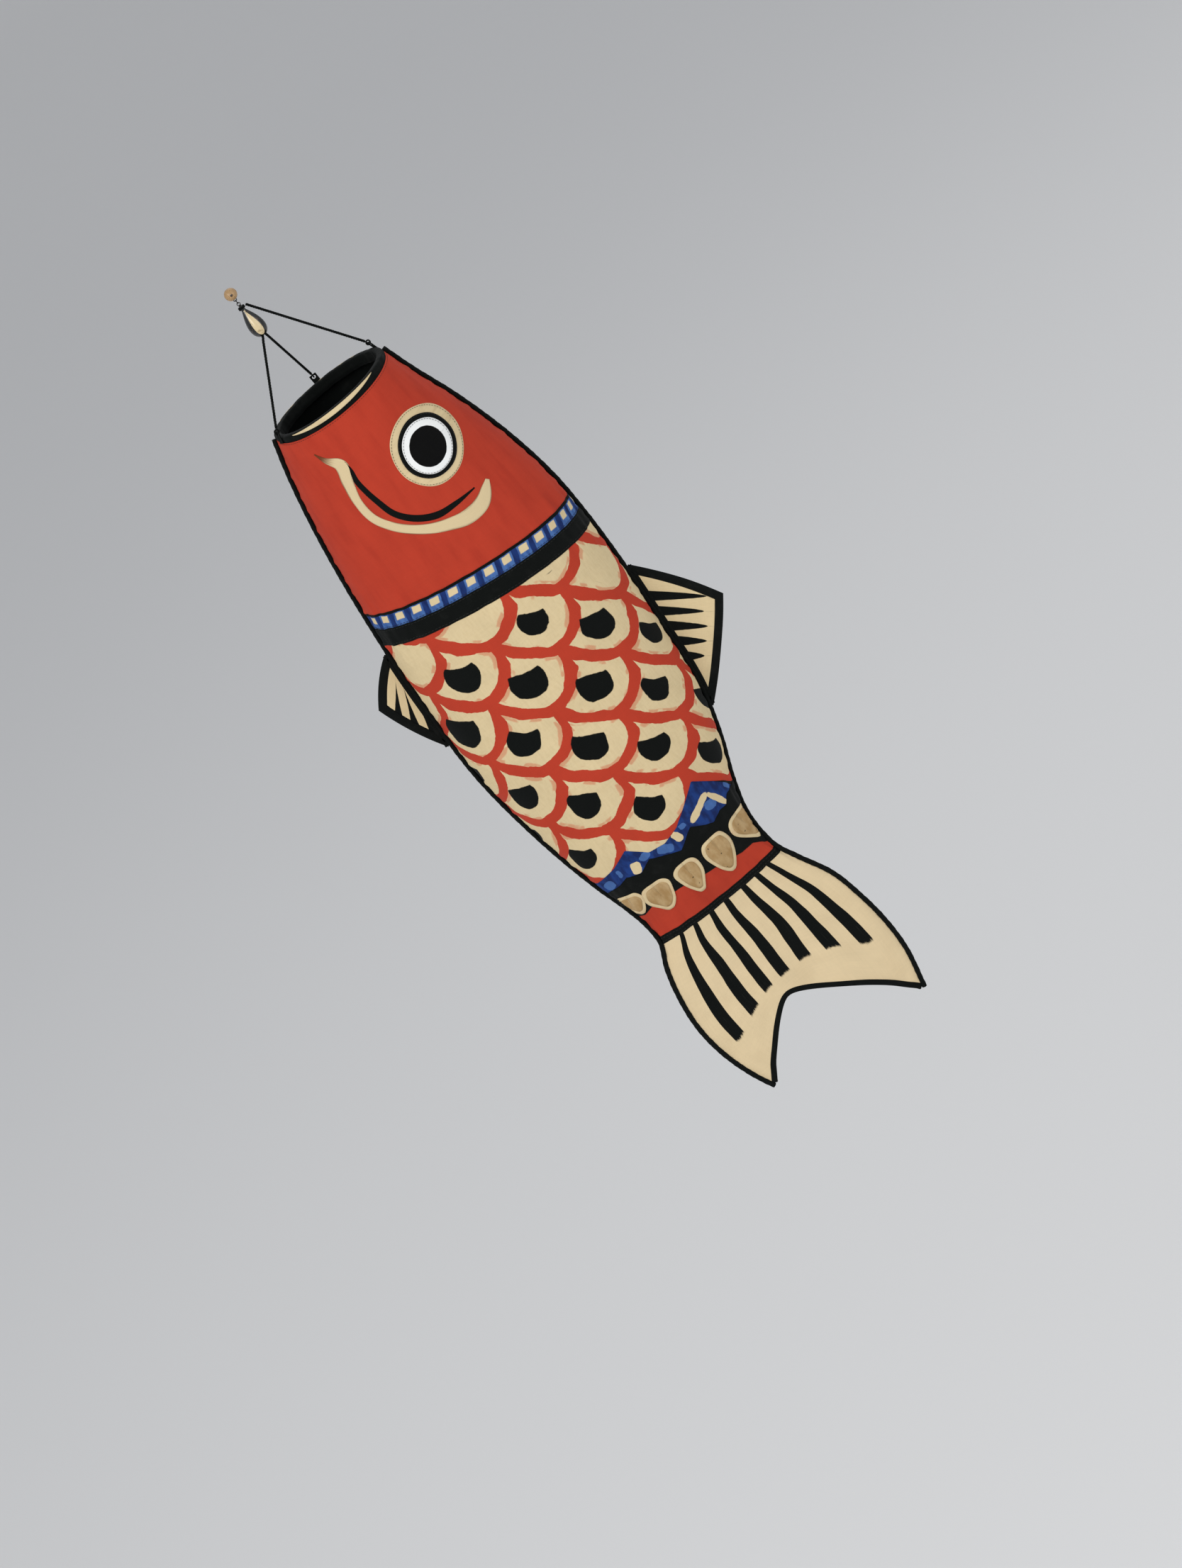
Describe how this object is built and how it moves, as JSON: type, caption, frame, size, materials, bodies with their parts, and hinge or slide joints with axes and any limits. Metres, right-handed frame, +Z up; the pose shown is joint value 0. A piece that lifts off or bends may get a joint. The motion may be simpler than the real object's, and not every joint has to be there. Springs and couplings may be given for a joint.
{
  "type": "carp streamer",
  "caption": "Hollow cloth fish that hangs from a bead by a bridle to a hooped mouth; the wind fills the body, which bends at its collar, rear border and tail, and its fins flap.",
  "frame": {"origin": "centre of the wooden bead that the streamer hangs from", "axes": "+Z up along the hanging line, the fish hanging down from the bead with its mouth up; +X towards the fish's back and its tall fin; -Y out of the fish's left flank"},
  "size_m": [0.3932, 0.1896, 1.1855],
  "materials": {
    "back_fin": "printed cream with black rays",
    "back_fin_binding": "black cloth",
    "bead_staple": "drawn wire",
    "belly_fin": "printed cream with black rays",
    "belly_fin_binding": "black cloth",
    "body_back_piping": "black cloth",
    "body_belly_piping": "black cloth",
    "body_panel_left": "printed cream scales",
    "body_panel_right": "printed cream scales",
    "border_black_band": "printed black",
    "border_blue_band": "printed blue and white",
    "bridle_cord_back": "braided cord",
    "bridle_cord_belly": "braided cord",
    "bridle_cord_right": "braided cord",
    "bridle_tab_back": "black cloth",
    "bridle_tab_belly": "black cloth",
    "bridle_tab_right": "black cloth",
    "collar_black_band": "printed black",
    "collar_check_band": "printed blue and white",
    "cord_loop_back": "braided cord",
    "cord_loop_belly": "braided cord",
    "cord_loop_right": "braided cord",
    "drop_inlay_left": "satin inlay",
    "drop_inlay_right": "satin inlay",
    "eye_button_left": "white applique with a black pupil",
    "eye_button_right": "white applique with a black pupil",
    "eye_patch_left": "cream applique",
    "eye_patch_right": "cream applique",
    "eye_ring_left": "printed black",
    "eye_ring_right": "printed black",
    "head_back_piping": "black cloth",
    "head_belly_piping": "black cloth",
    "head_panel_left": "printed red",
    "head_panel_right": "printed red",
    "hoop_ferrule": "crimped",
    "link_ring": "drawn wire",
    "lip_left": "cream applique",
    "lip_right": "cream applique",
    "mouth_binding": "black cloth",
    "mouth_facing": "black cloth",
    "mouth_hoop": "split bamboo",
    "neck_lashing": "braided cord",
    "pebble_row_left": "tan applique",
    "pebble_row_right": "tan applique",
    "pole_bead": "waxed",
    "stem_back_piping": "black cloth",
    "stem_belly_piping": "black cloth",
    "stem_panel_left": "printed red",
    "stem_panel_right": "printed red",
    "swivel_eye": "drawn wire",
    "tail_back_binding": "black cloth",
    "tail_belly_binding": "black cloth",
    "tail_hem_left": "black cloth",
    "tail_hem_right": "black cloth",
    "tail_panel_left": "printed cream with black rays",
    "tail_panel_right": "printed cream with black rays",
    "tail_seam_band": "black cloth",
    "toggle_drop": "black lacquer"
  },
  "bodies": {
    "hanger": {"pole_bead": "pole_bead", "bead_staple": "bead_staple"},
    "ring": {"link_ring": "link_ring"},
    "swivel": {"swivel_eye": "swivel_eye"},
    "head": {"bridle_cord_back": "bridle_cord_back", "bridle_cord_belly": "bridle_cord_belly", "bridle_cord_right": "bridle_cord_right", "bridle_tab_back": "bridle_tab_back", "bridle_tab_belly": "bridle_tab_belly", "bridle_tab_right": "bridle_tab_right", "collar_check_band": "collar_check_band", "cord_loop_back": "cord_loop_back", "cord_loop_belly": "cord_loop_belly", "cord_loop_right": "cord_loop_right", "drop_inlay_left": "drop_inlay_left", "drop_inlay_right": "drop_inlay_right", "eye_button_left": "eye_button_left", "eye_button_right": "eye_button_right", "eye_patch_left": "eye_patch_left", "eye_patch_right": "eye_patch_right", "eye_ring_left": "eye_ring_left", "eye_ring_right": "eye_ring_right", "head_back_piping": "head_back_piping", "head_belly_piping": "head_belly_piping", "head_panel_left": "head_panel_left", "head_panel_right": "head_panel_right", "hoop_ferrule": "hoop_ferrule", "lip_left": "lip_left", "lip_right": "lip_right", "mouth_binding": "mouth_binding", "mouth_facing": "mouth_facing", "mouth_hoop": "mouth_hoop", "neck_lashing": "neck_lashing", "toggle_drop": "toggle_drop"},
    "body": {"body_back_piping": "body_back_piping", "body_belly_piping": "body_belly_piping", "body_panel_left": "body_panel_left", "body_panel_right": "body_panel_right", "collar_black_band": "collar_black_band", "border_blue_band": "border_blue_band"},
    "back_fin": {"back_fin": "back_fin", "back_fin_binding": "back_fin_binding"},
    "belly_fin": {"belly_fin": "belly_fin", "belly_fin_binding": "belly_fin_binding"},
    "stem": {"pebble_row_left": "pebble_row_left", "pebble_row_right": "pebble_row_right", "stem_back_piping": "stem_back_piping", "stem_belly_piping": "stem_belly_piping", "stem_panel_left": "stem_panel_left", "stem_panel_right": "stem_panel_right", "border_black_band": "border_black_band"},
    "tail": {"tail_back_binding": "tail_back_binding", "tail_belly_binding": "tail_belly_binding", "tail_hem_left": "tail_hem_left", "tail_hem_right": "tail_hem_right", "tail_panel_left": "tail_panel_left", "tail_panel_right": "tail_panel_right", "tail_seam_band": "tail_seam_band"}
  },
  "joints": [
    {"name": "swing_side", "type": "hinge", "parent": "hanger", "child": "ring", "pos_m": [0, 0, -0.0096], "axis": [1, 0, 0], "range_deg": [-50, 50]},
    {"name": "swing_fore_aft", "type": "hinge", "parent": "ring", "child": "swivel", "pos_m": [0, 0, -0.01355], "axis": [0, 1, 0], "range_deg": [-50, 50]},
    {"name": "swivel_spin", "type": "hinge", "parent": "swivel", "child": "head", "pos_m": [0, 0, -0.0226], "axis": [0, 0, 1], "continuous": true},
    {"name": "neck_sway", "type": "hinge", "parent": "head", "child": "body", "pos_m": [0.0142, 0, -0.4265], "axis": [0.9881, 0, -0.154], "range_deg": [-22, 22], "deforming": ["collar_check_band", "collar_black_band"]},
    {"name": "back_fin_flap", "type": "hinge", "parent": "body", "child": "back_fin", "pos_m": [0.139, 0, -0.6414], "axis": [-0.1303, 0, -0.9915], "range_deg": [-50, 50]},
    {"name": "belly_fin_flap", "type": "hinge", "parent": "body", "child": "belly_fin", "pos_m": [-0.142, 0, -0.5049], "axis": [0, 0, 1], "range_deg": [-50, 50]},
    {"name": "stem_sway", "type": "hinge", "parent": "body", "child": "stem", "pos_m": [-0.0137, 0, -0.84], "axis": [0.9985, 0, -0.055], "range_deg": [-22, 22], "deforming": ["border_blue_band", "border_black_band"]},
    {"name": "tail_sway", "type": "hinge", "parent": "stem", "child": "tail", "pos_m": [-0.012, 0, -0.923], "axis": [0.9996, 0, -0.03], "range_deg": [-22, 22], "deforming": ["tail_seam_band"]}
  ]
}
